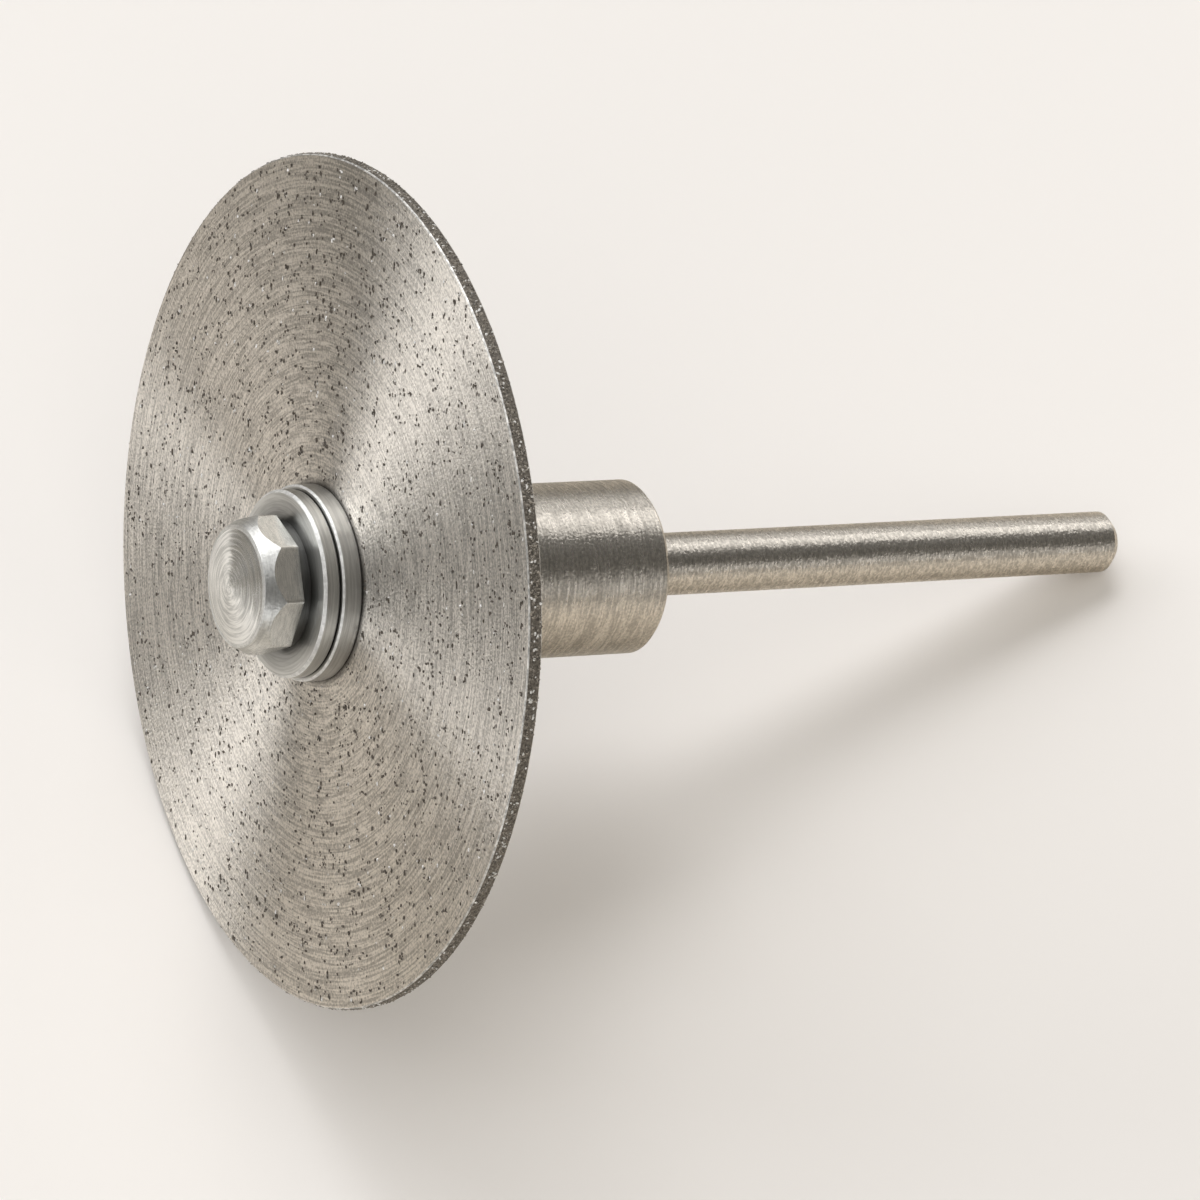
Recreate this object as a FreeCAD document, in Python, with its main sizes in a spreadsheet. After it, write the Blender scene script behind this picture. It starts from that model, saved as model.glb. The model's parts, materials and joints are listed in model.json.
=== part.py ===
"""Diamond grout removal blade: a thin plated disc screwed to the front of a turned mandrel.

Lengths are in millimetres and angles in degrees. Each piece is drawn about its own Z axis, which runs from the
screw head towards the free end of the shank, and is then laid down with the others: the rim of the disc and the
end of the shank rest on the plane Z = 0, and the blade's box is centred over the origin.
"""
import FreeCAD, Part
import math
import os

import Sketcher

DRIVING_SIZES = {
    "disc_diameter": 40.0,
    "disc_thickness": 0.7,
    "disc_edge_break": 0.06,
    "disc_bore_clearance": 0.1,
    "collar_diameter": 8.3,
    "collar_length": 16.1,
    "collar_chamfer": 0.2,
    "shank_diameter": 3.0,
    "shank_length": 27.6,
    "shank_chamfer": 0.45,
    "shank_root_fillet": 0.15,
    "thread_diameter": 3.5,
    "thread_clearance": 0.04,
    "thread_engagement": 7.0,
    "thread_end_chamfer": 0.4,
    "bore_spare_depth": 1.5,
    "drill_point_angle": 118.0,
    "bore_mouth_diameter": 4.2,
    "bore_mouth_angle": 90.0,
    "lower_washer_diameter": 9.2,
    "lower_washer_thickness": 1.02,
    "lower_washer_bevel": 0.09,
    "upper_washer_diameter": 8.8,
    "upper_washer_thickness": 0.86,
    "upper_washer_bevel": 0.13,
    "washer_bore_clearance": 0.2,
    "seat_diameter": 6.1,
    "seat_height": 0.48,
    "flat_count": 8,
    "across_flats": 6.2,
    "flat_height": 0.9,
    "cone_height": 0.92,
    "face_diameter": 5.76,
    "dome_height": 0.41,
    "head_turn": -15.0,
}


class Size:
    """A size as the formula that the document keeps and as its present value."""

    def __init__(self, formula, value):
        self.formula = formula
        self.value = value

    def __add__(self, other):
        return Size(f"({self.formula} + {other.formula})", self.value + other.value)

    def __sub__(self, other):
        return Size(f"({self.formula} - {other.formula})", self.value - other.value)

    def __mul__(self, other):
        return Size(f"({self.formula} * {other.formula})", self.value * other.value)

    def __truediv__(self, other):
        return Size(f"({self.formula} / {other.formula})", self.value / other.value)

    def __neg__(self):
        return Size(f"(-{self.formula})", -self.value)


ZERO = Size("0", 0.0)
TWO = Size("2", 2.0)
MATCH = 1e-6


def sine(angle):
    return Size(f"sin({angle.formula})", math.sin(math.radians(angle.value)))


def cosine(angle):
    return Size(f"cos({angle.formula})", math.cos(math.radians(angle.value)))


def slope(rise, run):
    return Size(f"atan({rise.formula} / {run.formula})", math.degrees(math.atan2(rise.value, run.value)))


def fill_sheet(doc):
    """Puts the driving sizes in a sheet and returns them by name."""
    sheet = doc.addObject("Spreadsheet::Sheet", "Sizes")
    sizes = {}
    for row, (name, value) in enumerate(DRIVING_SIZES.items(), start=1):
        sheet.set(f"A{row}", name)
        sheet.set(f"B{row}", str(value))
        sheet.setAlias(f"B{row}", name)
        sizes[name] = Size(f"Sizes.{name}", float(value))
    doc.recompute()
    return sizes


# Sketches

def plane_sketch(body, role, name):
    """A sketch on one of the body's own origin planes."""
    plane = next(item for item in body.Origin.OriginFeatures if item.Role == role)
    sketch = body.newObject("Sketcher::SketchObject", name)
    sketch.AttachmentSupport = [(plane, "")]
    sketch.MapMode = "FlatFace"
    return sketch


def dimension(sketch, kind, references, size):
    """A dimension drawn at its present value and tied to its formula."""
    index = sketch.addConstraint(Sketcher.Constraint(kind, *references, size.value))
    sketch.setExpression(f"Constraints[{index}]", size.formula)


def place_corner(sketch, edge, corner):
    """Ties the first point of an edge to its two distances from the origin, zero meaning on that axis."""
    for kind, axis, size in (("DistanceX", -2, corner[0]), ("DistanceY", -1, corner[1])):
        if size is ZERO:
            sketch.addConstraint(Sketcher.Constraint("PointOnObject", edge, 1, axis))
        elif size.value < 0:
            dimension(sketch, kind, (edge, 1, -1, 1), -size)
        else:
            dimension(sketch, kind, (-1, 1, edge, 1), size)


def outline(sketch, corners, first_edge=None):
    """Closes a line through the corners. The first edge may be given as a curve of its own."""
    points = [FreeCAD.Vector(across.value, along.value, 0) for across, along in corners]
    ends = points[1:] + points[:1]
    edges = [Part.LineSegment(start, end) for start, end in zip(points, ends)]
    if first_edge:
        edges[0] = first_edge
    for edge in edges:
        sketch.addGeometry(edge, False)
    for index, corner in enumerate(corners):
        sketch.addConstraint(Sketcher.Constraint("Coincident", index, 2, (index + 1) % len(corners), 1))
        place_corner(sketch, index, corner)


def circles(sketch, *diameters):
    """Circles about the origin."""
    for index, diameter in enumerate(diameters):
        circle = Part.Circle(FreeCAD.Vector(0, 0, 0), FreeCAD.Vector(0, 0, 1), diameter.value / 2)
        sketch.addGeometry(circle, False)
        sketch.addConstraint(Sketcher.Constraint("Coincident", index, 3, -1, 1))
        dimension(sketch, "Diameter", (index,), diameter)


# Features

def turned(body, sketch):
    """Turns a half section about the Z axis."""
    solid = body.newObject("PartDesign::Revolution", "Turned")
    solid.Profile = sketch
    solid.ReferenceAxis = (sketch, ["V_Axis"])
    solid.Angle = 360
    return solid


def padded(body, sketch, thickness):
    """Raises a sketch along Z."""
    solid = body.newObject("PartDesign::Pad", "Pad")
    solid.Profile = sketch
    solid.setExpression("Length", thickness.formula)
    return solid


def round_edges(shape, diameter, height):
    """Names of the full circular edges with this diameter at this height."""
    names = []
    for number, edge in enumerate(shape.Edges, start=1):
        if edge.Degenerated or not isinstance(edge.Curve, Part.Circle):
            continue
        same_size = math.isclose(edge.Curve.Radius, diameter.value / 2, abs_tol=MATCH)
        if same_size and math.isclose(edge.Curve.Center.z, height.value, abs_tol=MATCH):
            names.append(f"Edge{number}")
    return names


def edge_feature(body, kind, base, size_name, size, places):
    """A chamfer or fillet on the round edges at the given (diameter, height) places."""
    body.Document.recompute()
    names = [name for place in places for name in round_edges(base.Shape, *place)]
    feature = body.newObject(f"PartDesign::{kind}", kind)
    feature.Base = (base, names)
    feature.setExpression(size_name, size.formula)
    return feature


def chamfered(body, base, size, places):
    return edge_feature(body, "Chamfer", base, "Size", size, places)


def filleted(body, base, size, places):
    return edge_feature(body, "Fillet", base, "Radius", size, places)


def new_body(doc, name):
    body = doc.addObject("PartDesign::Body", name)
    body.Label = name
    return body


# The pieces

def make_mandrel(doc, size):
    """Shank and collar turned from one bar, with a blind tapped bore in the collar's front face at Z = 0."""
    body = new_body(doc, "mandrel")
    collar_end = size["collar_length"]
    shank_end = collar_end + size["shank_length"]
    collar_radius = size["collar_diameter"] / TWO
    shank_radius = size["shank_diameter"] / TWO

    section = plane_sketch(body, "XZ_Plane", "MandrelSection")
    outline(section, [
        (ZERO, ZERO),
        (collar_radius, ZERO),
        (collar_radius, collar_end),
        (shank_radius, collar_end),
        (shank_radius, shank_end),
        (ZERO, shank_end),
    ])
    bar = turned(body, section)
    collar_edges = [(size["collar_diameter"], ZERO), (size["collar_diameter"], collar_end)]
    collar = chamfered(body, bar, size["collar_chamfer"], collar_edges)
    rooted = filleted(body, collar, size["shank_root_fillet"], [(size["shank_diameter"], collar_end)])
    chamfered(body, rooted, size["shank_chamfer"], [(size["shank_diameter"], shank_end)])

    mouth = plane_sketch(body, "XY_Plane", "BoreMouth")
    circles(mouth, size["thread_diameter"] + size["thread_clearance"])
    doc.recompute()
    bore = body.newObject("PartDesign::Hole", "TappedBore")
    bore.Profile = mouth
    bore.Reversed = True
    bore.DepthType = "Dimension"
    bore.DrillPoint = "Angled"
    bore.HoleCutType = "Countersink"
    bore.HoleCutCustomValues = True
    formulas = {
        "Diameter": size["thread_diameter"] + size["thread_clearance"],
        "Depth": size["thread_engagement"] + size["bore_spare_depth"],
        "DrillPointAngle": size["drill_point_angle"],
        "HoleCutDiameter": size["bore_mouth_diameter"],
        "HoleCutCountersinkAngle": size["bore_mouth_angle"],
    }
    for name, formula in formulas.items():
        bore.setExpression(name, formula.formula)
    return body


def make_disc(doc, size):
    """Flat steel blank under its diamond plating, front face at Z = 0, both corners of the rim broken."""
    body = new_body(doc, "diamond_disc")
    blank = plane_sketch(body, "XY_Plane", "Blank")
    circles(blank, size["disc_diameter"], size["thread_diameter"] + size["disc_bore_clearance"])
    disc = padded(body, blank, size["disc_thickness"])
    rim = [(size["disc_diameter"], height) for height in (ZERO, size["disc_thickness"])]
    chamfered(body, disc, size["disc_edge_break"], rim)
    return body


def make_washer(doc, size, name):
    """Flat washer, front face at Z = 0, with bevelled outer edges."""
    body = new_body(doc, name)
    diameter = size[f"{name}_diameter"]
    thickness = size[f"{name}_thickness"]
    ring = plane_sketch(body, "XY_Plane", "Ring")
    circles(ring, diameter, size["thread_diameter"] + size["washer_bore_clearance"])
    washer = padded(body, ring, thickness)
    chamfered(body, washer, size[f"{name}_bevel"], [(diameter, ZERO), (diameter, thickness)])
    return body


def dome_arc(rim_radius, rim_height, top_height):
    """Arc centred on the axis, from the top of the dome to its rim."""
    rise = abs(top_height.value - rim_height.value)
    radius = (rim_radius.value ** 2 + rise ** 2) / (2 * rise)
    centre = FreeCAD.Vector(0, top_height.value + radius, 0)
    circle = Part.Circle(centre, FreeCAD.Vector(0, 0, 1), radius)
    start = -math.pi / 2
    return Part.ArcOfCircle(circle, start, start + math.asin(rim_radius.value / radius))


def make_screw(doc, size):
    """Clamp screw with its seat at Z = 0 and its head towards -Z.

    The head is turned first: a low dome, a cone down to the corners and a round seat under the flats. One flat is
    then milled and repeated round the axis, so that the cone leaves its scallops on every flat.
    """
    body = new_body(doc, "clamp_screw")
    flat_distance = size["across_flats"] / TWO
    half_turn = Size("180 deg", 180.0)
    corner_radius = flat_distance / cosine(half_turn / size["flat_count"])
    face_radius = size["face_diameter"] / TWO
    seat_radius = size["seat_diameter"] / TWO
    thread_radius = size["thread_diameter"] / TWO
    flats_back = size["seat_height"]
    flats_front = flats_back + size["flat_height"]
    face = flats_front + size["cone_height"]
    dome_top = face + size["dome_height"]
    thread_end = clamped_stack(size) + size["thread_engagement"]

    section = plane_sketch(body, "XZ_Plane", "ScrewSection")
    outline(section, [
        (ZERO, -dome_top),
        (face_radius, -face),
        (corner_radius, -flats_front),
        (corner_radius, -flats_back),
        (seat_radius, -flats_back),
        (seat_radius, ZERO),
        (thread_radius, ZERO),
        (thread_radius, thread_end),
        (ZERO, thread_end),
    ], first_edge=dome_arc(face_radius, -face, -dome_top))
    section.addConstraint(Sketcher.Constraint("PointOnObject", 0, 3, -2))
    blank = turned(body, section)
    chamfered(body, blank, size["thread_end_chamfer"], [(size["thread_diameter"], thread_end)])

    waste = plane_sketch(body, "XY_Plane", "FlatWaste")
    waste.setExpression("AttachmentOffset.Base.z", (-flats_back).formula)
    waste.setExpression("AttachmentOffset.Rotation.Angle", size["head_turn"].formula)
    outline(waste, [
        (-corner_radius, flat_distance),
        (corner_radius, flat_distance),
        (corner_radius, size["across_flats"]),
        (-corner_radius, size["across_flats"]),
    ])
    flat = body.newObject("PartDesign::Pocket", "Flat")
    flat.Profile = waste
    flat.setExpression("Length", (dome_top - flats_back).formula)

    flats = body.newObject("PartDesign::PolarPattern", "Flats")
    flats.Originals = [flat]
    flats.Axis = (waste, ["N_Axis"])
    flats.Angle = 360
    flats.setExpression("Occurrences", size["flat_count"].formula)
    body.Tip = flats
    return body


# The assembly

def clamped_stack(size):
    """Thickness held between the screw's seat and the collar."""
    return size["upper_washer_thickness"] + size["lower_washer_thickness"] + size["disc_thickness"]


def lay_down(size, stations):
    """Places each body on the common axis, at its distance behind the disc's front face.

    The axis leans down towards the shank until the back corner of the rim and the start of the shank's end
    chamfer lie on the floor together.
    """
    disc_radius = size["disc_diameter"] / TWO
    shank_radius = size["shank_diameter"] / TWO
    mandrel_length = size["collar_length"] + size["shank_length"]
    rim_station = size["disc_thickness"] - size["disc_edge_break"]
    shank_station = size["disc_thickness"] + mandrel_length - size["shank_chamfer"]
    lean = slope(disc_radius - shank_radius, shank_station - rim_station)

    height = disc_radius * cosine(lean) + rim_station * sine(lean)
    rim_reach = (disc_radius - size["disc_edge_break"]) * sine(lean)
    end_radius = shank_radius - size["shank_chamfer"]
    end_reach = (size["disc_thickness"] + mandrel_length) * cosine(lean) + end_radius * sine(lean)
    offset = (rim_reach - end_reach) / TWO

    quarter_turn = Size("90 deg", 90.0)
    for body, station in stations:
        body.Placement.Rotation = FreeCAD.Rotation(FreeCAD.Vector(0, 1, 0), (quarter_turn + lean).value)
        body.setExpression("Placement.Rotation.Angle", (quarter_turn + lean).formula)
        body.setExpression("Placement.Base.x", (offset + station * cosine(lean)).formula)
        body.setExpression("Placement.Base.z", (height - station * sine(lean)).formula)


def check(doc, bodies):
    """Stops before anything is written if an object has failed or a piece isn't one sound solid."""
    for item in doc.Objects:
        if "Invalid" in item.State or "Error" in item.State:
            raise RuntimeError(f"{item.Name} failed: {item.State}")
    for body in bodies:
        if body.Shape.isNull() or not body.Shape.isValid() or len(body.Shape.Solids) != 1:
            raise RuntimeError(f"{body.Label} is not one valid solid")


def main():
    doc = FreeCAD.newDocument("GroutBlade")
    size = fill_sheet(doc)
    mandrel = make_mandrel(doc, size)
    disc = make_disc(doc, size)
    lower_washer = make_washer(doc, size, "lower_washer")
    upper_washer = make_washer(doc, size, "upper_washer")
    screw = make_screw(doc, size)
    doc.recompute()

    lower_front = -size["lower_washer_thickness"]
    upper_front = lower_front - size["upper_washer_thickness"]
    lay_down(size, [
        (mandrel, size["disc_thickness"]),
        (disc, ZERO),
        (lower_washer, lower_front),
        (upper_washer, upper_front),
        (screw, upper_front),
    ])
    doc.recompute()

    bodies = [mandrel, disc, lower_washer, upper_washer, screw]
    check(doc, bodies)
    os.makedirs("parts", exist_ok=True)
    for body in bodies:
        body.Shape.exportStep(os.path.join("parts", f"{body.Label}.step"))


main()
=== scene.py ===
"""Diamond grout removal blade: fine form, finishes, camera and studio, in metres in the CAD frame.

The pieces are turned about one common axis. A place on them is a station along that axis from the disc's
front face, a radius and an angle from UP towards SIDE. Stations and radii are in millimetres, angles in
radians.
"""
import json
import math
import random

import bpy
from mathutils import Matrix, Vector


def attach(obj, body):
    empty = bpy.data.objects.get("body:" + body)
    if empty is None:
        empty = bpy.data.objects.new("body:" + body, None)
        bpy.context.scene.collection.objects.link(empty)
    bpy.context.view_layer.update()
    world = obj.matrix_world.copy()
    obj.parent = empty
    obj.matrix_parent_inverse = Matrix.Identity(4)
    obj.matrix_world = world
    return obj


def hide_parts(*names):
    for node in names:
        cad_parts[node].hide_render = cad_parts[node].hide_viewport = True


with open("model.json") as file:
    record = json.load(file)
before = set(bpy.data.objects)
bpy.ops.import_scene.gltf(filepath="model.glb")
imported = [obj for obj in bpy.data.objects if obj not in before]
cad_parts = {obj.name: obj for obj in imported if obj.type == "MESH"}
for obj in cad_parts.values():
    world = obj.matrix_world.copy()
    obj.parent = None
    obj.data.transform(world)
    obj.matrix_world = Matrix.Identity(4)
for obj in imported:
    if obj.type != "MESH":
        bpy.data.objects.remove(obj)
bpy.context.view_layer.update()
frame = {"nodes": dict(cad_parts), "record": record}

MM = 0.001
TURN = 2 * math.pi

# Sizes in millimetres that the pieces' own boxes don't give

COLLAR_LENGTH = 16.1
COLLAR_CHAMFER = 0.2
SHANK_CHAMFER = 0.45
SHANK_ROOT_FILLET = 0.15
BORE_RADIUS = 1.77
BORE_DEPTH = 8.5
BORE_MOUTH_RADIUS = 2.1
DRILL_POINT_ANGLE = math.radians(118)
THREAD_RADIUS = 1.75
THREAD_PITCH = 0.6
THREAD_DEPTH = 0.3
THREAD_END_CHAMFER = 0.4
RING_BORE_RADIUS = 1.85
DISC_BORE_RADIUS = 1.8
PLATED_EDGE_ROUNDING = 0.1
LOWER_BEVEL = 0.09
UPPER_BEVEL = 0.13
SEAT_RADIUS = 3.05
SEAT_HEIGHT = 0.48
FLAT_COUNT = 8
FLAT_DISTANCE = 3.1
FLAT_HEIGHT = 0.9
CONE_HEIGHT = 0.92
FACE_RADIUS = 2.88
DOME_HEIGHT = 0.41
FACE_CURVE = 1.25
FACE_EDGE_REACH = 0.03
LEVEL_SLOPE = 0.2
FLAT_TURN = TURN / FLAT_COUNT
HEAD_TURN = math.radians(-15)
CORNER_BREAK = 0.015

GRIT_SEED = 7
GRIT_SIZE = 0.118
GRIT_STAND = 0.07
FACE_GRAINS = 4300
FACE_GRAIN_STAND = 0.3
FACE_EDGE_MARGIN = 0.3
WASHER_MARGIN = 0.1
SMALLEST_GRAIN = 0.7
GRAIN_SPREAD = 0.9
GRAIN_SMALLNESS = 1.5
CLUSTER_SHARE = 0.25
CLUSTER_REACH = 1.6
# Shares of grains in white, painted glints
GLINT_FACE_SHARE = 0.08
RIM_GRAINS = 3000
RIM_GRAIN_SIZES = (0.7, 1.5)
RIM_GRAIN_STANDS = (0.5, 0.98)
GLINT_RIM_SHARE = 0.1


# The common axis

shank_mount = frame["record"]["mounts"][0]
AXIS = Vector(shank_mount["axis"]).normalized()
UP = (Vector((0, 0, 1)) - AXIS * AXIS.z).normalized()
SIDE = AXIS.cross(UP)


def reach(node, start):
    """Front and back station and outer radius of a CAD node, with stations from a point on the axis."""
    offsets = [(vertex.co - start) / MM for vertex in frame["nodes"][node].data.vertices]
    stations = [offset.dot(AXIS) for offset in offsets]
    radius = max((offset - AXIS * station).length for offset, station in zip(offsets, stations))
    return min(stations), max(stations), radius


mount_point = Vector(shank_mount["pos_m"])
ORIGIN = mount_point + AXIS * reach("diamond_disc", mount_point)[0] * MM


def at(station, radius, angle):
    """The point at a place on the blade."""
    return ORIGIN + (AXIS * station + (UP * math.cos(angle) + SIDE * math.sin(angle)) * radius) * MM


# Building meshes

STEADYING_REACH = 1.5
SEGMENTS = 160
DISC_SEGMENTS = 320
CREASE = math.radians(32)
GRAIN_CREASE = 0.1
GRAIN_SIDES = 5
GRAIN_STRETCH = (0.7, 1.5)
GRAIN_WIDTH = (0.32, 0.62)
GRAIN_HEIGHT = (0.6, 1.3)
GRAIN_RINGS = ((0, -0.35), (1, 0.45))
NEAR = 0.01


def softened(corners, steps=4):
    """Profile through (station, radius, rounding) corners. A steadying point stands beside each rounding."""
    points = []
    for index, (station, radius, rounding) in enumerate(corners):
        here = Vector((station, radius))
        if not rounding:
            points.append(here)
            continue
        back = (Vector(corners[index - 1][:2]) - here).normalized()
        onward = (Vector(corners[(index + 1) % len(corners)][:2]) - here).normalized()
        half = back.angle(onward) / 2
        cut = rounding / math.tan(half)
        centre = here + (back + onward).normalized() * rounding / math.sin(half)
        start = here + back * cut - centre
        end = here + onward * cut - centre
        points.append(here + back * cut * STEADYING_REACH)
        for step in range(steps + 1):
            points.append(centre + start.lerp(end, step / steps).normalized() * rounding)
        points.append(here + onward * cut * STEADYING_REACH)
    return points


def turned_mesh(name, profile_at, angles, closed=False):
    """Mesh with a profile of (station, radius) points at each angle. A row on the axis becomes one point."""
    profiles = [profile_at(angle) for angle in angles]
    vertices, rows = [], []
    for row in range(len(profiles[0])):
        if profiles[0][row][1] < 1e-6:
            rows.append([len(vertices)] * len(angles))
            vertices.append(at(profiles[0][row][0], 0, 0))
        else:
            rows.append(list(range(len(vertices), len(vertices) + len(angles))))
            vertices.extend(at(*profile[row], angle) for profile, angle in zip(profiles, angles))
    faces = []
    pairs = list(zip(rows, rows[1:]))
    if closed:
        pairs.append((rows[-1], rows[0]))
    for near, far in pairs:
        for column in range(len(angles)):
            following = (column + 1) % len(angles)
            ring = [near[column], near[following], far[following], far[column]]
            face = [vertex for place, vertex in enumerate(ring) if vertex != ring[place - 1]]
            if len(face) > 2:
                faces.append(face)
    return solid(name, vertices, faces)


def solid(name, vertices, faces, crease=CREASE):
    """Object from vertices and faces, smooth except where faces meet at more than the crease angle."""
    mesh = bpy.data.meshes.new(name)
    mesh.from_pydata(vertices, [], faces)
    mesh.validate()
    mesh.shade_smooth()
    mesh.set_sharp_from_angle(angle=crease)
    piece = bpy.data.objects.new(name, mesh)
    bpy.context.scene.collection.objects.link(piece)
    return piece


def even_angles(count):
    """Angles at an even distance all round."""
    return [TURN * index / count for index in range(count)]


def lathe(name, profile, count=SEGMENTS, closed=False):
    """Turned piece with the same profile all round."""
    return turned_mesh(name, lambda angle: profile, even_angles(count), closed)


def grain(centre, outward, size, stand, dice):
    """Vertices and faces of one angular crystal, a twisted prism with pointed ends, standing on a surface."""
    along = outward.orthogonal().normalized()
    across = outward.cross(along)
    twist = dice.uniform(0, TURN)
    stretch = dice.uniform(*GRAIN_STRETCH)
    vertices = [centre - outward * stand, centre + outward * stand]
    for ring, height in GRAIN_RINGS:
        for corner in range(GRAIN_SIDES):
            angle = twist + TURN * (corner + 0.5 * ring) / GRAIN_SIDES
            radius = size * dice.uniform(*GRAIN_WIDTH)
            flat = along * math.cos(angle) * radius * stretch + across * math.sin(angle) * radius / stretch
            vertices.append(centre + flat + outward * stand * height * dice.uniform(*GRAIN_HEIGHT))
    faces = []
    for corner in range(GRAIN_SIDES):
        low, low_next = 2 + corner, 2 + (corner + 1) % GRAIN_SIDES
        high, high_next = low + GRAIN_SIDES, low_next + GRAIN_SIDES
        faces += [
            (0, low_next, low),
            (low, low_next, high),
            (low_next, high_next, high),
            (high, high_next, 1),
        ]
    return vertices, faces


def scatter(name, places, dice, glint_share, materials):
    """One mesh of many grains at (centre, outward, size, stand) places, a few of them white as painted
    glints.
    """
    vertices, faces, finishes = [], [], []
    for centre, outward, size, stand in places:
        points, sides = grain(centre, outward, size, stand, dice)
        first = len(vertices)
        vertices += points
        faces += [[first + corner for corner in side] for side in sides]
        finishes += [int(dice.random() < glint_share)] * len(sides)
    piece = solid(name, vertices, faces, GRAIN_CREASE)
    for material in materials:
        piece.data.materials.append(material)
    piece.data.polygons.foreach_set("material_index", finishes)
    return piece


# Materials

FINE_DETAIL = 2.0
FINE_CONTRAST = (0.41, 0.59)
BROAD_SPACING = 4
BROAD_LENGTH = 2
BROAD_CONTRAST = (0.3, 0.7)
BROAD_SHARE = 0.35
PIT_DENSITY = 7500
PIT_CONTRAST = (0.35, 0.65)
PIT_RELIEF = 2.0
STRAY_SPACING = 1.3
STRAY_LENGTH = 0.6
ROUGHNESS_SWING = 0.05
# How dark a painted contact shadow at a piece's foot is, as a share of the metal's colour
PAINTED_SHADOW_TONE = 0.12
QUARTER_TURN = 0.25
BED_DENSITY = 9000
BED_DETAIL = 4.0
BED_CONTRAST = (0.35, 0.65)
BED_RELIEF = 0.05
WEAR_DENSITY = 3500
WEAR_DETAIL = 3.0
WEAR_CONTRAST = (0.4, 0.62)
BEVEL_SLOPES = (0.3, 0.96)


class Recipe:
    """A material's nodes, added one at a time. An input is a number, a colour or another node's output."""

    def __init__(self, name, tree=None, shader="Principled BSDF"):
        if tree is None:
            self.material = bpy.data.materials.new(name)
            self.material.use_nodes = True
            tree = self.material.node_tree
        self.tree = tree
        self.shader = tree.nodes[shader]

    def add(self, kind, inputs=(), **settings):
        node = self.tree.nodes.new(kind)
        for name, value in settings.items():
            setattr(node, name, value)
        for name, value in dict(inputs).items():
            self.feed(node, name, value)
        return node

    def feed(self, node, name, value):
        if isinstance(value, bpy.types.NodeSocket):
            self.tree.links.new(value, node.inputs[name])
        else:
            node.inputs[name].default_value = value

    def maths(self, operation, first, second=0.0, third=0.0):
        inputs = {0: first, 1: second, 2: third}
        return self.add("ShaderNodeMath", inputs, operation=operation).outputs[0]

    def vector(self, operation, first, second=(0, 0, 0), result=0):
        return self.add("ShaderNodeVectorMath", {0: first, 1: second}, operation=operation).outputs[result]

    def scaled(self, vector, factor):
        inputs = {"Vector": vector, "Scale": factor}
        return self.add("ShaderNodeVectorMath", inputs, operation="SCALE").outputs[0]

    def dot(self, first, second):
        return self.vector("DOT_PRODUCT", first, second, result="Value")

    def remap(self, value, low, high, to_low, to_high):
        inputs = {"Value": value, "From Min": low, "From Max": high, "To Min": to_low, "To Max": to_high}
        return self.add("ShaderNodeMapRange", inputs).outputs["Result"]

    def noise(self, vector, fourth, scale, detail):
        inputs = {"Vector": vector, "W": fourth, "Scale": scale, "Detail": detail}
        return self.add("ShaderNodeTexNoise", inputs, noise_dimensions="4D").outputs["Fac"]

    def blend(self, amount, first, second):
        node = self.add("ShaderNodeMix", data_type="RGBA")
        self.feed(node, 0, amount)
        self.feed(node, 6, first)
        self.feed(node, 7, second)
        return node.outputs[2]

    def bump(self, height, depth, normal=None):
        """Raises the surface by the height times a depth in millimetres, from the given normal or its own."""
        node = self.add("ShaderNodeBump", {"Height": height, "Distance": depth * MM, "Strength": 1.0})
        if normal:
            self.feed(node, "Normal", normal)
        self.feed(self.shader, "Normal", node.outputs["Normal"])


class TurnedPlace:
    """Where a shaded point lies on a turned piece: station and radius in millimetres, and direction round."""

    def __init__(self, recipe):
        point = recipe.add("ShaderNodeTexCoord").outputs["Object"]
        offset = recipe.vector("SUBTRACT", point, ORIGIN)
        offset = recipe.vector("MULTIPLY", offset, (1 / MM,) * 3)
        self.tangent = recipe.vector("CROSS_PRODUCT", AXIS, offset)
        self.station = recipe.dot(offset, AXIS)
        self.radius = recipe.vector("LENGTH", self.tangent, result="Value")
        self.height = recipe.maths("DIVIDE", recipe.dot(offset, UP), self.radius)
        self.width = recipe.maths("DIVIDE", recipe.dot(offset, SIDE), self.radius)


def grooves(recipe, place, spacing, length, detail=3.0):
    """Noise drawn out into lines round the axis, with a spacing in millimetres and a length in radians."""
    inputs = {
        "X": recipe.maths("DIVIDE", place.height, length),
        "Y": recipe.maths("DIVIDE", place.width, length),
        "Z": recipe.maths("DIVIDE", place.station, spacing),
    }
    vector = recipe.add("ShaderNodeCombineXYZ", inputs).outputs[0]
    return recipe.noise(vector, recipe.maths("DIVIDE", place.radius, spacing), 1.0, detail)


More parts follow.
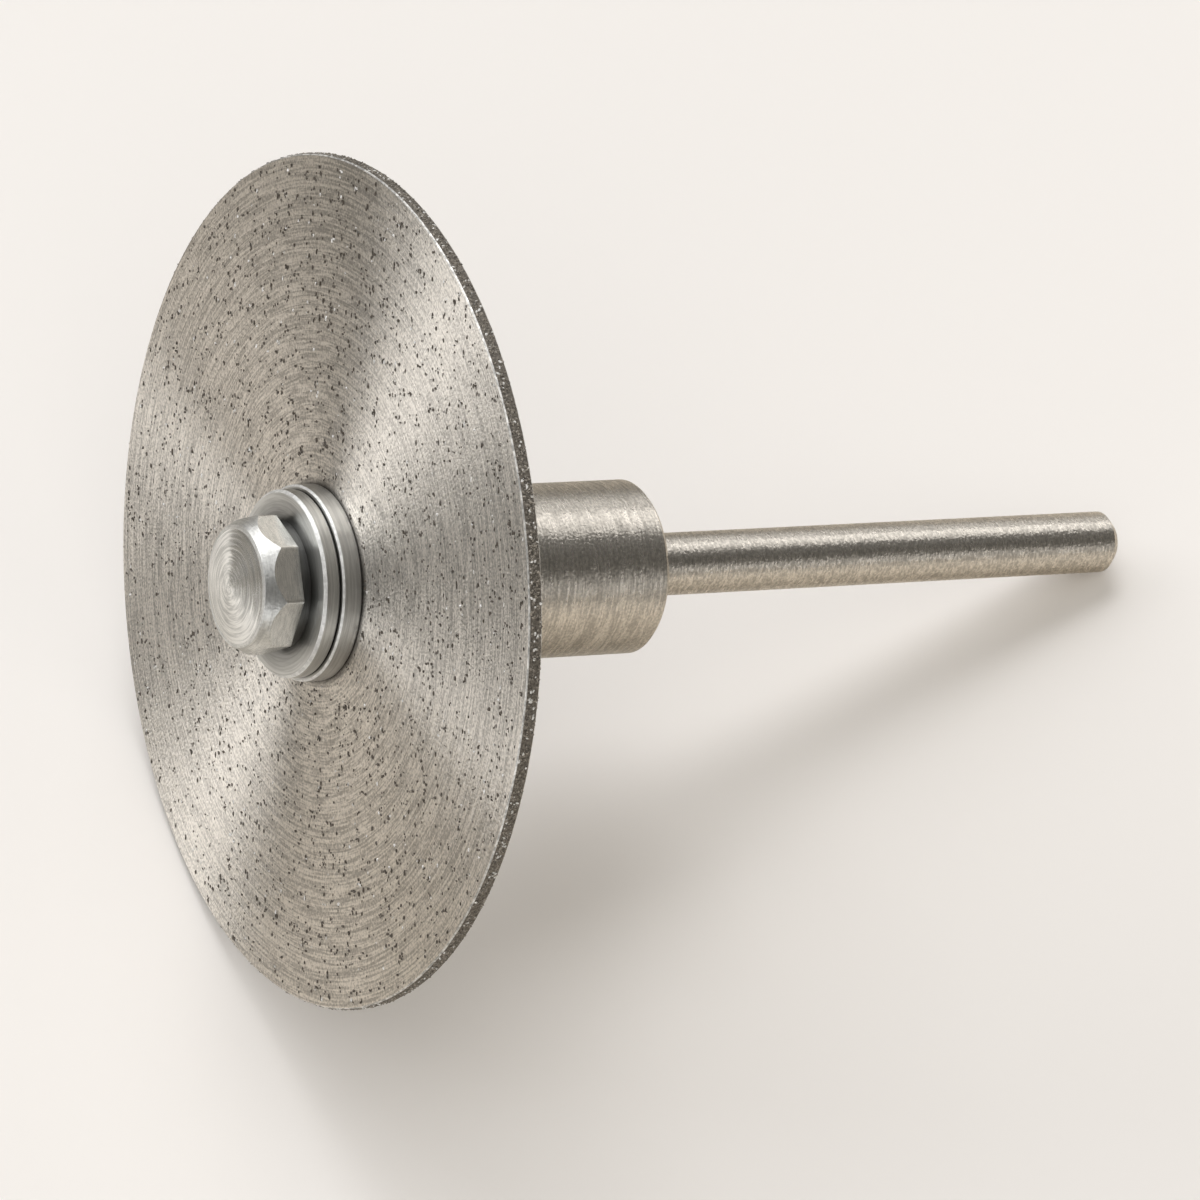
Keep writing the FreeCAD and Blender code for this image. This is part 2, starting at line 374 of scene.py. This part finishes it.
def turned_metal(
    name, colour, roughness, anisotropy, spacing, length, depth,
    shade=0.15, waver=0.1, mottle=0.0, painted_shadow_ring=None,
):
    """Metal with fine tool lines round the axis; its highlights spread across the lines.

    Spacing and depth of the lines are in millimetres, their length in radians. Waver is how far one line's
    reflection strays from its neighbour's, and mottle how much fine pitting shows between the lines. A
    painted shadow ring is the radius out to which the metal is painted dark, a painted contact shadow at the
    next piece's foot, and the radius where that painted shade has faded out.
    """
    recipe = Recipe(name)
    place = TurnedPlace(recipe)
    fine = grooves(recipe, place, spacing, length, FINE_DETAIL)
    fine = recipe.remap(fine, *FINE_CONTRAST, 0.0, 1.0)
    broad = grooves(recipe, place, spacing * BROAD_SPACING, length * BROAD_LENGTH)
    broad = recipe.remap(broad, *BROAD_CONTRAST, 0.0, 1.0)
    lines = recipe.maths("MULTIPLY_ADD", recipe.maths("SUBTRACT", broad, fine), BROAD_SHARE, fine)
    point = recipe.add("ShaderNodeTexCoord").outputs["Object"]
    pits = recipe.remap(recipe.noise(point, 0.0, PIT_DENSITY, 1.0), *PIT_CONTRAST, -mottle, mottle)
    rough = recipe.maths("MULTIPLY_ADD", pits, PIT_RELIEF, lines)
    dark = [channel * (1 - shade) for channel in colour] + [1]
    light = [min(1, channel * (1 + shade)) for channel in colour] + [1]
    tone = recipe.blend(recipe.maths("ADD", lines, pits), dark, light)
    # Painted shadow: the metal darkens towards the next piece's foot, for the shade that falls there.
    if painted_shadow_ring:
        painted_shadow_colour = [channel * PAINTED_SHADOW_TONE for channel in colour] + [1]
        tone = recipe.blend(recipe.remap(place.radius, *painted_shadow_ring, 0.0, 1.0), painted_shadow_colour, tone)
    recipe.feed(recipe.shader, "Base Color", tone)
    dull, smooth = roughness + ROUGHNESS_SWING, roughness - ROUGHNESS_SWING
    recipe.feed(recipe.shader, "Roughness", recipe.remap(lines, 0, 1, dull, smooth))
    recipe.feed(recipe.shader, "Metallic", 1.0)
    recipe.feed(recipe.shader, "Anisotropic", anisotropy)
    recipe.feed(recipe.shader, "Anisotropic Rotation", QUARTER_TURN)
    recipe.feed(recipe.shader, "Tangent", place.tangent)
    own = recipe.add("ShaderNodeNewGeometry").outputs["Normal"]
    stray = grooves(recipe, place, spacing * STRAY_SPACING, length * STRAY_LENGTH)
    round_about = recipe.vector("NORMALIZE", place.tangent)
    stray = recipe.scaled(round_about, recipe.remap(stray, 0.0, 1.0, -waver, waver))
    recipe.bump(rough, depth, recipe.vector("NORMALIZE", recipe.vector("ADD", own, stray)))
    return recipe.material


def crystal(name, colour, roughness, darkest=0.6, lightest=1.5):
    """Diamond grit: glassy crystals, from a darkest to a lightest multiple of the colour."""
    recipe = Recipe(name)
    luck = recipe.add("ShaderNodeNewGeometry").outputs["Random Per Island"]
    dark = [channel * darkest for channel in colour] + [1]
    light = [min(1, channel * lightest) for channel in colour] + [1]
    recipe.feed(recipe.shader, "Base Color", recipe.blend(luck, dark, light))
    recipe.feed(recipe.shader, "Roughness", roughness)
    return recipe.material


def grit_bed(name, colour):
    """The rim's rough plating between the crystals."""
    recipe = Recipe(name)
    point = recipe.add("ShaderNodeTexCoord").outputs["Object"]
    lumps = recipe.noise(point, 0.0, BED_DENSITY, BED_DETAIL)
    dark = [channel * 0.5 for channel in colour] + [1]
    light = [channel * 1.5 for channel in colour] + [1]
    relief = recipe.remap(lumps, *BED_CONTRAST, 0, 1)
    recipe.feed(recipe.shader, "Base Color", recipe.blend(relief, dark, light))
    recipe.feed(recipe.shader, "Roughness", 0.6)
    recipe.feed(recipe.shader, "Metallic", 0.6)
    recipe.bump(lumps, BED_RELIEF)
    return recipe.material


def worn_highlight_edge(name, colour, dullest):
    """Burnished edge, painted near white and half matt so that it shows as a painted highlight all round, in
    places dulled to a share of its colour.
    """
    recipe = Recipe(name)
    point = recipe.add("ShaderNodeTexCoord").outputs["Object"]
    wear = recipe.remap(recipe.noise(point, 0.0, WEAR_DENSITY, WEAR_DETAIL), *WEAR_CONTRAST, 0.0, 1.0)
    dull = [channel * dullest for channel in colour] + [1]
    recipe.feed(recipe.shader, "Base Color", recipe.blend(wear, dull, (*colour, 1)))
    recipe.feed(recipe.shader, "Roughness", 0.4)
    recipe.feed(recipe.shader, "Metallic", 0.5)
    return recipe.material


def brighten_edges(piece, index, lowest, highest, least_radius):
    """Gives the sloping faces between two stations, outside a radius, the material at an index: the painted
    edge highlight.
    """
    least_slope, greatest_slope = BEVEL_SLOPES
    for face in piece.data.polygons:
        offset = (face.center - ORIGIN) / MM
        station = offset.dot(AXIS)
        slope = abs(face.normal.dot(AXIS))
        outside = (offset - AXIS * station).length > least_radius
        if outside and lowest < station < highest and least_slope < slope < greatest_slope:
            face.material_index = index


lower_radius = reach("lower_washer", ORIGIN)[2]
upper_radius = reach("upper_washer", ORIGIN)[2]
nickel_mandrel = turned_metal(
    "nickel_mandrel", (0.69, 0.64, 0.57), roughness=0.3, anisotropy=0.9,
    spacing=0.1, length=0.22, depth=0.004, shade=0.24, mottle=0.35,
)
# The disc is painted dark round the lower washer's foot: a painted contact shadow.
nickel_disc = turned_metal(
    "nickel_disc", (0.71, 0.67, 0.615), roughness=0.46, anisotropy=0.95,
    spacing=0.1, length=0.16, depth=0.005, shade=0.28, waver=0.14, mottle=0.42,
    painted_shadow_ring=(lower_radius - 0.1, lower_radius + 0.35),
)
# A thin dark line is painted round the upper washer's foot: painted shade in the joint.
zinc_lower = turned_metal(
    "zinc_lower", (0.55, 0.55, 0.535), roughness=0.34, anisotropy=0.7,
    spacing=0.08, length=0.4, depth=0.003, painted_shadow_ring=(upper_radius - 0.05, upper_radius + 0.04),
)
# The upper washer is painted dark round the head's seat: a painted shadow under the head.
zinc_upper = turned_metal(
    "zinc_upper", (0.55, 0.55, 0.53), roughness=0.34, anisotropy=0.7,
    spacing=0.08, length=0.4, depth=0.003, painted_shadow_ring=(SEAT_RADIUS - 0.3, SEAT_RADIUS + 1.1),
)
zinc_face = turned_metal(
    "zinc_face", (0.72, 0.72, 0.7), roughness=0.17, anisotropy=0.95,
    spacing=0.11, length=0.7, depth=0.004, shade=0.3, waver=0.06,
)
zinc_cone = turned_metal(
    "zinc_cone", (0.74, 0.74, 0.72), roughness=0.44, anisotropy=0.6,
    spacing=0.09, length=0.4, depth=0.003, mottle=0.3,
)
zinc_flats = turned_metal(
    "zinc_flats", (0.66, 0.66, 0.64), roughness=0.22, anisotropy=0.2,
    spacing=0.07, length=0.3, depth=0.002,
)
# The seat under the head, and the thread behind it, are painted near black: painted shade under the flats.
zinc_seat_painted_shade = turned_metal(
    "zinc_seat_painted_shade", (0.16, 0.16, 0.155), roughness=0.4, anisotropy=0.6,
    spacing=0.08, length=0.4, depth=0.003,
)
dark_grit = crystal("dark_grit", (0.065, 0.053, 0.04), roughness=0.35)
# White grains that stand for the grit's sparkle: painted glints.
glint_grit = crystal("glint_grit", (0.85, 0.83, 0.79), roughness=0.2)
grey_grit = crystal("grey_grit", (0.2, 0.18, 0.155), roughness=0.3, darkest=0.2, lightest=2)
rim_bed = grit_bed("rim_bed", (0.2, 0.18, 0.155))
# Near-white edge colours for the burnished bevels: painted highlights.
nickel_edge_highlight = worn_highlight_edge("nickel_edge_highlight", (0.92, 0.9, 0.87), dullest=0.45)
zinc_edge_highlight = worn_highlight_edge("zinc_edge_highlight", (0.88, 0.88, 0.87), dullest=0.75)


# Pieces

def finish(piece, node, slot, *materials):
    """Gives a piece its materials and its place on the body, and hides the CAD node it stands for."""
    for material in materials:
        piece.data.materials.append(material)
    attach(piece, "root")
    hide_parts(node)


def make_mandrel():
    """Shank and collar, with the tapped bore in the collar's front face."""
    front, end, radius = reach("mandrel", ORIGIN)
    collar_end = front + COLLAR_LENGTH
    shank_radius = shank_mount["dims"]["r_mm"]
    bore_end = front + BORE_DEPTH
    mouth_depth = BORE_MOUTH_RADIUS - BORE_RADIUS
    profile = softened([
        (bore_end + BORE_RADIUS / math.tan(DRILL_POINT_ANGLE / 2), 0, 0),
        (bore_end, BORE_RADIUS, 0),
        (front + mouth_depth, BORE_RADIUS, 0),
        (front, BORE_MOUTH_RADIUS, 0.03),
        (front, radius - COLLAR_CHAMFER, 0.04),
        (front + COLLAR_CHAMFER, radius, 0.05),
        (collar_end - COLLAR_CHAMFER, radius, 0.05),
        (collar_end, radius - COLLAR_CHAMFER, 0.04),
        (collar_end, shank_radius, SHANK_ROOT_FILLET),
        (end - SHANK_CHAMFER, shank_radius, 0.1),
        (end, shank_radius - SHANK_CHAMFER, 0.08),
        (end, 0, 0),
    ])
    finish(lathe("mandrel_turned", profile), "mandrel", "mandrel_steel", nickel_mandrel)


def make_disc():
    """The plated blank. Its rim is a little smaller than the finished disc, to leave room for the grit."""
    front, back, radius = reach("diamond_disc", ORIGIN)
    blank_radius = radius - GRIT_STAND
    profile = softened([
        (front, DISC_BORE_RADIUS, 0),
        (front, blank_radius, PLATED_EDGE_ROUNDING),
        (back, blank_radius, PLATED_EDGE_ROUNDING),
        (back, DISC_BORE_RADIUS, 0),
    ])
    plate = lathe("disc_plate", profile, DISC_SEGMENTS, closed=True)
    finish(plate, "diamond_disc", "diamond_plating", nickel_disc, rim_bed, nickel_edge_highlight)
    for face in plate.data.polygons:
        offset = (face.center - ORIGIN) / MM
        station = offset.dot(AXIS)
        on_rim = (offset - AXIS * station).length > blank_radius - NEAR
        face.material_index = int(on_rim)
    # The disc's rounded edges get the painted highlight.
    brighten_edges(plate, 2, front, back, blank_radius - PLATED_EDGE_ROUNDING)


def face_places(dice, station, outward):
    """Grains over one face of the disc, a quarter of them beside the one before, and most of them small."""
    edge = reach("diamond_disc", ORIGIN)[2] - FACE_EDGE_MARGIN
    inner = reach("lower_washer", ORIGIN)[2] + WASHER_MARGIN
    places = []
    radius, angle = edge, 0.0
    while len(places) < FACE_GRAINS:
        if places and dice.random() < CLUSTER_SHARE:
            radius += dice.uniform(-1, 1) * CLUSTER_REACH * GRIT_SIZE
            angle += dice.uniform(-1, 1) * CLUSTER_REACH * GRIT_SIZE / radius
        else:
            radius = math.sqrt(dice.uniform(inner ** 2, edge ** 2))
            angle = dice.uniform(0, TURN)
        if inner < radius < edge:
            size = GRIT_SIZE * (SMALLEST_GRAIN + GRAIN_SPREAD * dice.random() ** GRAIN_SMALLNESS) * MM
            places.append((at(station, radius, angle), outward, size, size * FACE_GRAIN_STAND))
    return places


def rim_places(dice):
    """Grains close together round the rim."""
    front, back, radius = reach("diamond_disc", ORIGIN)
    places = []
    for _ in range(RIM_GRAINS):
        angle = dice.uniform(0, TURN)
        station = dice.uniform(front + PLATED_EDGE_ROUNDING, back - PLATED_EDGE_ROUNDING)
        size = GRIT_SIZE * dice.uniform(*RIM_GRAIN_SIZES)
        stand = GRIT_STAND * dice.uniform(*RIM_GRAIN_STANDS)
        outward = UP * math.cos(angle) + SIDE * math.sin(angle)
        places.append((at(station, radius - GRIT_STAND, angle), outward, size * MM, stand * MM))
    return places


def make_grit():
    """Diamond grains on both faces of the disc and round its rim."""
    dice = random.Random(GRIT_SEED)
    front, back, _ = reach("diamond_disc", ORIGIN)
    groups = {
        "front_grit": (face_places(dice, front, -AXIS), GLINT_FACE_SHARE),
        "back_grit": (face_places(dice, back, AXIS), GLINT_FACE_SHARE),
        "rim_grit": (rim_places(dice), GLINT_RIM_SHARE),
    }
    for name, (places, glint_share) in groups.items():
        plain = grey_grit if name == "rim_grit" else dark_grit
        piece = scatter(name, places, dice, glint_share, [plain, glint_grit])
        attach(piece, "root")


def make_washer(node, bevel, metal):
    """Washer with a burnished front bevel that carries a painted highlight."""
    front, back, radius = reach(node, ORIGIN)
    profile = softened([
        (front, RING_BORE_RADIUS, 0.03),
        (front, radius - bevel, 0.5 * bevel),
        (front + bevel, radius, 0.5 * bevel),
        (back - bevel, radius, 0.04),
        (back, radius - bevel, 0.03),
        (back, RING_BORE_RADIUS, 0.03),
    ])
    ring = lathe(node + "_turned", profile, closed=True)
    finish(ring, node, "washer_steel", metal, zinc_edge_highlight)
    brighten_edges(ring, 1, front, front + 2 * bevel, radius - 2 * bevel)


def head_angles(limit_radius, columns=26):
    """Angles round the head: evenly over each flat, and one more in the broken corner between two flats."""
    half_flat = math.acos(FLAT_DISTANCE / limit_radius)
    angles = []
    for flat in range(FLAT_COUNT):
        middle = HEAD_TURN + TURN * flat / FLAT_COUNT
        angles += [middle + half_flat * (2 * column / columns - 1) for column in range(columns + 1)]
        angles.append(middle + FLAT_TURN / 2)
    return angles


def make_screw():
    """Clamp screw: face that rises to a blunt tip, cone, eight flats, round seat and a rolled thread."""
    head_top, thread_end, _ = reach("clamp_screw", ORIGIN)
    face = head_top + DOME_HEIGHT
    flats_front = face + CONE_HEIGHT
    flats_back = flats_front + FLAT_HEIGHT
    seat = flats_back + SEAT_HEIGHT
    corner_radius = FLAT_DISTANCE / math.cos(FLAT_TURN / 2)
    limit_radius = corner_radius - CORNER_BREAK
    dome_steps, thread_steps = 14, 130

    def profile_at(angle):
        from_flat = (angle - HEAD_TURN + FLAT_TURN / 2) % FLAT_TURN - FLAT_TURN / 2
        side_radius = min(FLAT_DISTANCE / math.cos(from_flat), limit_radius)
        cone_share = (side_radius - FACE_RADIUS) / (corner_radius - FACE_RADIUS)
        cone_foot = face + CONE_HEIGHT * cone_share
        points = []
        for step in range(dome_steps):
            share = step / dome_steps
            points.append(Vector((head_top + DOME_HEIGHT * share ** FACE_CURVE, FACE_RADIUS * share)))
        last = (points[-1][0], points[-1][1], 0)
        points += softened([
            last,
            (face, FACE_RADIUS, 0.07),
            (cone_foot, side_radius, 0.03),
            (flats_back, side_radius, 0.04),
            (flats_back, SEAT_RADIUS, 0.0),
            (seat, SEAT_RADIUS, 0.02),
            (seat, THREAD_RADIUS, 0),
        ])[1:]
        for step in range(1, thread_steps):
            station = seat + (thread_end - seat) * step / thread_steps
            lead = (station / THREAD_PITCH - angle / TURN) % 1
            depth = THREAD_DEPTH * abs(2 * lead - 1)
            runout = min(1, (station - seat) / THREAD_PITCH)
            end_limit = THREAD_RADIUS - max(0, station - thread_end + THREAD_END_CHAMFER)
            points.append(Vector((station, min(THREAD_RADIUS - depth * runout, end_limit))))
        points.append(Vector((thread_end, THREAD_RADIUS - THREAD_END_CHAMFER)))
        points.append(Vector((thread_end, 0)))
        return points

    screw = turned_mesh("clamp_screw_turned", profile_at, head_angles(limit_radius))
    finish(screw, "clamp_screw", "screw_steel", zinc_face, zinc_cone, zinc_flats, zinc_seat_painted_shade)
    cone_index, flats_index, seat_index = 1, 2, 3
    for part in screw.data.polygons:
        station = (part.center - ORIGIN).dot(AXIS) / MM
        on_flat = face < station and abs(part.normal.dot(AXIS)) < LEVEL_SLOPE
        # Seat and thread take the material painted in shade.
        if station > flats_back - NEAR:
            part.material_index = seat_index
        elif on_flat:
            part.material_index = flats_index
        elif station > face - FACE_EDGE_REACH:
            part.material_index = cone_index


make_mandrel()
make_disc()
make_grit()
make_washer("lower_washer", LOWER_BEVEL, zinc_lower)
make_washer("upper_washer", UPPER_BEVEL, zinc_upper)
make_screw()


# Studio

FLOOR_SIZE = 4.0
FLOOR_ROUGHNESS = 0.9
FLOOR_SPECULAR = 0.1
FLOOR_COLOUR = (0.935, 0.91, 0.893)
BACKDROP_COLOUR = (0.92, 0.88, 0.83)
# Painted shade and painted pools of light on the floor, seen by all rays but the camera's
FAR_FLOOR_PAINTED_SHADE = (0.24, 0.225, 0.2)
POOL_BEHIND = (-0.0435, 0.0275, 0)
POOL_BEHIND_SIZE = (0.01, 0.024)
POOL_LEFT = (-0.067, 0.009, 0)
POOL_LEFT_SIZE = (0.016, 0.031)
POOL_FRONT = (-0.031, -0.01, 0)
POOL_FRONT_SIZE = (0.004, 0.009)
POOL_BELOW = (0.055, -0.05, 0)
POOL_BELOW_SIZE = (0.055, 0.15)
POOL_COLOUR = (0.7, 0.65, 0.58)
REFLECTED_FROM = (350, 62)
REFLECTED_START = 0.56
REFLECTED_LIGHT = (1.04, 1.04, 1.04)
REFLECTED_DARK = (0.1, 0.1, 0.097)
FILL_FROM = (180, 50)
FILL_START = 0.4
FILL_LIGHT = (0.97, 0.92, 0.83)
FILL_DARK = (0.05, 0.05, 0.05)
LAMP_DISTANCE = 4.0
SENSOR_WIDTH = 36
NEAREST_SEEN = 0.01


def direction(azimuth, elevation):
    """Unit vector at an azimuth from the back (+Y) towards the right (+X) and an elevation, in degrees."""
    azimuth, elevation = math.radians(azimuth), math.radians(elevation)
    return Vector((
        math.sin(azimuth) * math.cos(elevation),
        math.cos(azimuth) * math.cos(elevation),
        math.sin(elevation),
    ))


def make_floor():
    """Pale floor under the blade, evenly pale to the camera. Its colour for all other rays is painted light:
    painted shade far off and a few painted pools of light near the blade.
    """
    half = FLOOR_SIZE / 2
    corners = [(-half, -half, 0), (half, -half, 0), (half, half, 0), (-half, half, 0)]
    floor = solid("floor", corners, [(0, 1, 2, 3)])
    recipe = Recipe("floor_paper")
    point = recipe.add("ShaderNodeTexCoord").outputs["Object"]
    painted_light_and_shade = (*FAR_FLOOR_PAINTED_SHADE, 1)
    # Painted pools of light over the painted shade of the far floor.
    for centre, size, colour in (
        (POOL_BEHIND, POOL_BEHIND_SIZE, FLOOR_COLOUR),
        (POOL_LEFT, POOL_LEFT_SIZE, FLOOR_COLOUR),
        (POOL_FRONT, POOL_FRONT_SIZE, FLOOR_COLOUR),
        (POOL_BELOW, POOL_BELOW_SIZE, POOL_COLOUR),
    ):
        distance = recipe.vector("DISTANCE", point, centre, result="Value")
        painted_light_and_shade = recipe.blend(recipe.remap(distance, *size, 1, 0), painted_light_and_shade, (*colour, 1))
    seen = recipe.add("ShaderNodeLightPath").outputs["Is Camera Ray"]
    recipe.feed(recipe.shader, "Base Color", recipe.blend(seen, painted_light_and_shade, (*FLOOR_COLOUR, 1)))
    recipe.feed(recipe.shader, "Roughness", FLOOR_ROUGHNESS)
    recipe.feed(recipe.shader, "Specular IOR Level", FLOOR_SPECULAR)
    floor.data.materials.append(recipe.material)


def make_room():
    """Soft fill from the front. Reflections find a bright patch high at the back, the camera a backdrop."""
    world = bpy.data.worlds.new("room")
    world.use_nodes = True
    bpy.context.scene.world = world
    recipe = Recipe("room", world.node_tree, "Background")
    ray = recipe.add("ShaderNodeTexCoord").outputs["Generated"]
    above = recipe.remap(recipe.dot(ray, direction(*REFLECTED_FROM)), REFLECTED_START, 1, 0, 1)
    reflected = recipe.blend(above, (*REFLECTED_DARK, 1), (*REFLECTED_LIGHT, 1))
    front = recipe.remap(recipe.dot(ray, direction(*FILL_FROM)), FILL_START, 1, 0, 1)
    fill = recipe.blend(front, (*FILL_DARK, 1), (*FILL_LIGHT, 1))
    path = recipe.add("ShaderNodeLightPath").outputs
    light = recipe.blend(path["Is Glossy Ray"], fill, reflected)
    recipe.feed(recipe.shader, "Color", recipe.blend(path["Is Camera Ray"], light, (*BACKDROP_COLOUR, 1)))


def softbox(name, azimuths, elevations, radiance, mirrored=True):
    """Rectangular lamp that faces the blade and spans two azimuths and two elevations in degrees.

    The pieces mirror it unless it is there for the floor's light and shadow alone.
    """
    azimuth, elevation = sum(azimuths) / 2, sum(elevations) / 2
    half_width = math.radians(azimuths[1] - azimuths[0]) / 2 * math.cos(math.radians(elevation))
    half_height = math.radians(elevations[1] - elevations[0]) / 2
    lamp = bpy.data.lights.new(name, "AREA")
    lamp.shape = "RECTANGLE"
    lamp.size = 2 * LAMP_DISTANCE * math.tan(half_width)
    lamp.size_y = 2 * LAMP_DISTANCE * math.tan(half_height)
    lamp.energy = radiance * lamp.size * lamp.size_y * math.pi
    holder = bpy.data.objects.new(name, lamp)
    away = direction(azimuth, elevation)
    facing = away.to_track_quat("Z", "Y").to_matrix().to_4x4()
    holder.matrix_world = Matrix.Translation(away * LAMP_DISTANCE) @ facing
    holder.visible_camera = False
    holder.visible_glossy = mirrored
    bpy.context.scene.collection.objects.link(holder)


def make_camera(azimuth, elevation, distance, lens, shift_right, shift_up):
    """Camera at angles in degrees and distances in millimetres, aimed at a shift from the disc's centre."""
    look = direction(azimuth, -elevation)
    right = direction(azimuth + 90, 0)
    lift = right.cross(look)
    eye = ORIGIN + (right * shift_right + lift * shift_up - look * distance) * MM
    camera = bpy.data.cameras.new("photo_camera")
    camera.lens = lens
    camera.sensor_width = SENSOR_WIDTH
    camera.clip_start = NEAREST_SEEN
    holder = bpy.data.objects.new("photo_camera", camera)
    holder.matrix_world = Matrix.Translation(eye) @ Matrix((right, lift, -look)).transposed().to_4x4()
    bpy.context.scene.collection.objects.link(holder)
    bpy.context.scene.camera = holder


make_floor()
make_room()
softbox("key", azimuths=(-5, 35), elevations=(44, 68), radiance=3.9, mirrored=False)
softbox("window", azimuths=(288, 338), elevations=(16, 44), radiance=2.3)
softbox("overhead", azimuths=(326, 402), elevations=(36, 66), radiance=2.1)
softbox("back_low", azimuths=(350, 402), elevations=(18, 30), radiance=1.2)
softbox("right_back", azimuths=(52, 80), elevations=(4, 36), radiance=1.3)
softbox("front_card", azimuths=(172, 214), elevations=(0, 14), radiance=1.2)
softbox("left_card", azimuths=(214, 282), elevations=(0, 16), radiance=1.9)
softbox("right_card", azimuths=(120, 152), elevations=(0, 13), radiance=0.85)
make_camera(
    azimuth=20.3204, elevation=56.1943, distance=350, lens=225.46, shift_right=13.2274, shift_up=-0.8301,
)
bpy.context.scene.view_settings.view_transform = "Standard"
